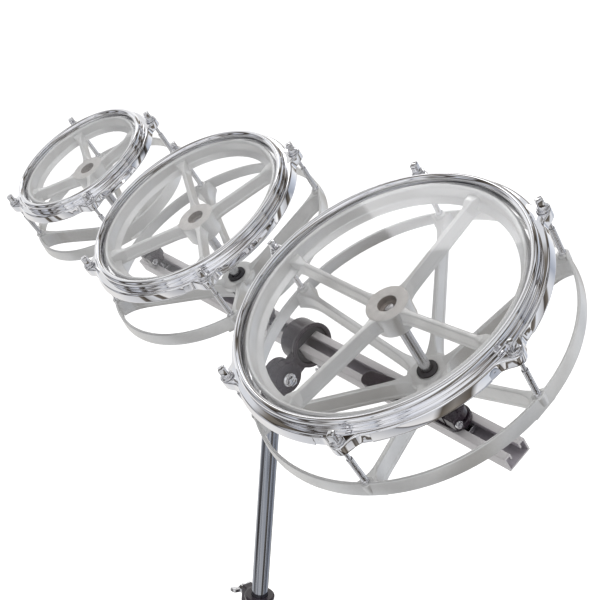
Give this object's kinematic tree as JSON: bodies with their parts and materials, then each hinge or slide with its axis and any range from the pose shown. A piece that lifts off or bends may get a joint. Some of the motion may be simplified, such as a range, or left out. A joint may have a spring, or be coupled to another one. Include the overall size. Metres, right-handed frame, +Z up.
{
  "type": "rototom",
  "caption": "Shell-less tunable drums with clear heads on threaded shafts, set in a row on a slotted rail with a tilter and a folding tripod stand.",
  "frame": {"origin": "on the floor under the middle of the whole set", "axes": "+X along the rail from the large drum to the small one, +Y to the player, +Z up"},
  "size_m": [0.8022, 0.5398, 1.0241],
  "materials": {
    "black": "satin black",
    "boot": "black rubber",
    "bush": "black rubber",
    "casting": "satin cast metal",
    "head": "clear film",
    "hoop": "polished chrome",
    "post": "polished chrome",
    "rail": "matt metal",
    "rod": "polished chrome",
    "steel": "machined steel"
  },
  "bodies": {
    "stand": {"base_tube": "post", "leg_hub": "black", "height_clamp": "black"},
    "height_screw": {"height_screw": "rod"},
    "post": {"post": "post"},
    "tilter_base": {"tilter_base": "black"},
    "rail_clamp": {"rail_clamp": "black"},
    "tilter_bolt": {"tilter_bolt": "rod"},
    "clamp_screw": {"clamp_screw": "rod"},
    "rail_sleeve": {"rail_sleeve": "black"},
    "rail": {"rail": "rail"},
    "brace_collar": {"brace_collar": "black"},
    "large_mount": {"large_foot": "black", "large_foot_bolt": "rod", "large_shaft": "steel"},
    "large_upper": {"large_upper_frame": "casting", "large_head": "head"},
    "large_lower": {"large_lower_frame": "casting", "large_hoop": "hoop", "large_shaft_bush": "bush", "large_rod_1": "rod", "large_rod_2": "rod", "large_rod_3": "rod", "large_rod_4": "rod", "large_rod_5": "rod", "large_rod_6": "rod"},
    "medium_mount": {"medium_foot": "black", "medium_foot_bolt": "rod", "medium_shaft": "steel"},
    "medium_upper": {"medium_upper_frame": "casting", "medium_head": "head"},
    "medium_lower": {"medium_lower_frame": "casting", "medium_hoop": "hoop", "medium_shaft_bush": "bush", "medium_rod_1": "rod", "medium_rod_2": "rod", "medium_rod_3": "rod", "medium_rod_4": "rod"},
    "small_mount": {"small_foot": "black", "small_foot_bolt": "rod", "small_shaft": "steel"},
    "small_upper": {"small_upper_frame": "casting", "small_head": "head"},
    "small_lower": {"small_lower_frame": "casting", "small_hoop": "hoop", "small_shaft_bush": "bush", "small_rod_1": "rod", "small_rod_2": "rod", "small_rod_3": "rod", "small_rod_4": "rod"},
    "rail_lever": {"rail_lever": "black"},
    "leg_1": {"leg_1": "post", "foot_1": "boot"},
    "brace_1": {"brace_1": "post"},
    "leg_2": {"leg_2": "post", "foot_2": "boot"},
    "brace_2": {"brace_2": "post"},
    "leg_3": {"leg_3": "post", "foot_3": "boot"},
    "brace_3": {"brace_3": "post"}
  },
  "joints": [
    {"name": "height_screw_turn", "type": "hinge", "parent": "stand", "child": "height_screw", "pos_m": [0.03489, 0.07515, 0.467], "axis": [1, 0, 0], "range_deg": [-180, 180]},
    {"name": "post_height", "type": "slide", "parent": "stand", "child": "post", "axis": [0, 0, 1], "range_m": [-0.1, 0.1]},
    {"name": "post_swivel", "type": "hinge", "parent": "post", "child": "tilter_base", "pos_m": [0.00489, 0.07515, 0.72], "axis": [0, 0, 1], "range_deg": [-90, 90]},
    {"name": "tilter_angle", "type": "hinge", "parent": "tilter_base", "child": "rail_clamp", "pos_m": [-0.00896, 0.07515, 0.757], "axis": [-1, 0, 0], "range_deg": [-30, 25]},
    {"name": "tilter_bolt_turn", "type": "hinge", "parent": "rail_clamp", "child": "tilter_bolt", "pos_m": [-0.02111, 0.07515, 0.757], "axis": [1, 0, 0], "range_deg": [-180, 180]},
    {"name": "clamp_screw_turn", "type": "hinge", "parent": "rail_clamp", "child": "clamp_screw", "pos_m": [-0.00511, 0.02164, 0.75764], "axis": [0, -0.5878, -0.809], "range_deg": [-120, 120]},
    {"name": "rail_roll", "type": "hinge", "parent": "rail_clamp", "child": "rail_sleeve", "pos_m": [-0.00711, 0.04515, 0.79], "axis": [-1, 0, 0], "range_deg": [-30, 30]},
    {"name": "rail_shift", "type": "slide", "parent": "rail_sleeve", "child": "rail", "axis": [1, 0, 0], "range_m": [-0.02, 0.03]},
    {"name": "large_place", "type": "slide", "parent": "rail", "child": "large_mount", "axis": [1, 0, 0], "range_m": [-0.05, 0.008]},
    {"name": "large_spin", "type": "hinge", "parent": "large_mount", "child": "large_upper", "pos_m": [-0.24711, 0.14782, 0.9177], "axis": [0, 0.6266, 0.7793], "range_deg": [0, 360]},
    {"name": "large_tension", "type": "slide", "parent": "large_upper", "child": "large_lower", "axis": [0, 0.6266, 0.7793], "range_m": [0, 0.00159]},
    {"name": "medium_place", "type": "slide", "parent": "rail", "child": "medium_mount", "axis": [1, 0, 0], "range_m": [-0.008, 0.006]},
    {"name": "medium_spin", "type": "hinge", "parent": "medium_mount", "child": "medium_upper", "pos_m": [0.05474, 0.14782, 0.9177], "axis": [0, 0.6266, 0.7793], "range_deg": [0, 360]},
    {"name": "medium_tension", "type": "slide", "parent": "medium_upper", "child": "medium_lower", "axis": [0, 0.6266, 0.7793], "range_m": [0, 0.00159]},
    {"name": "small_place", "type": "slide", "parent": "rail", "child": "small_mount", "axis": [1, 0, 0], "range_m": [-0.006, 0.012]},
    {"name": "small_spin", "type": "hinge", "parent": "small_mount", "child": "small_upper", "pos_m": [0.30039, 0.14782, 0.9177], "axis": [0, 0.6266, 0.7793], "range_deg": [0, 360]},
    {"name": "small_tension", "type": "slide", "parent": "small_upper", "child": "small_lower", "axis": [0, 0.6266, 0.7793], "range_m": [0, 0.00159]},
    {"name": "rail_lever_turn", "type": "hinge", "parent": "large_mount", "child": "rail_lever", "pos_m": [-0.24711, 0.05258, 0.79924], "axis": [0, 0.6266, 0.7793], "range_deg": [-40, 60]},
    {"name": "leg_1_fold", "type": "hinge", "parent": "stand", "child": "leg_1", "pos_m": [0.02741, 0.08815, 0.3], "axis": [-0.5, 0.866, 0], "range_deg": [0, 36]},
    {"name": "brace_1_fold", "type": "hinge", "parent": "leg_1", "child": "brace_1", "pos_m": [0.09623, 0.12789, 0.22394], "axis": [-0.5, 0.866, 0], "range_deg": [-72, 0]},
    {"name": "leg_2_fold", "type": "hinge", "parent": "stand", "child": "leg_2", "pos_m": [-0.01762, 0.08815, 0.3], "axis": [-0.5, -0.866, 0], "range_deg": [0, 36]},
    {"name": "brace_2_fold", "type": "hinge", "parent": "leg_2", "child": "brace_2", "pos_m": [-0.08644, 0.12789, 0.22394], "axis": [-0.5, -0.866, 0], "range_deg": [-72, 0]},
    {"name": "leg_3_fold", "type": "hinge", "parent": "stand", "child": "leg_3", "pos_m": [0.00489, 0.04915, 0.3], "axis": [1, 0, 0], "range_deg": [0, 36]},
    {"name": "brace_3_fold", "type": "hinge", "parent": "leg_3", "child": "brace_3", "pos_m": [0.00489, -0.03031, 0.22394], "axis": [1, 0, 0], "range_deg": [-72, 0]},
    {"name": "collar_slide", "type": "slide", "parent": "stand", "child": "brace_collar", "axis": [0, 0, 1], "range_m": [-0.06436, 0]}
  ],
  "couplings": [
    {"joint": "large_tension", "follows": "large_spin", "m_per_rad": 0.00025266},
    {"joint": "medium_tension", "follows": "medium_spin", "m_per_rad": 0.00025266},
    {"joint": "small_tension", "follows": "small_spin", "m_per_rad": 0.00025266},
    {"joint": "brace_1_fold", "follows": "leg_1_fold", "ratio": -2},
    {"joint": "leg_2_fold", "follows": "leg_1_fold", "ratio": 1},
    {"joint": "brace_2_fold", "follows": "leg_1_fold", "ratio": -2},
    {"joint": "leg_3_fold", "follows": "leg_1_fold", "ratio": 1},
    {"joint": "brace_3_fold", "follows": "leg_1_fold", "ratio": -2},
    {"joint": "collar_slide", "follows": "leg_1_fold", "m_per_rad": -0.10243}
  ]
}
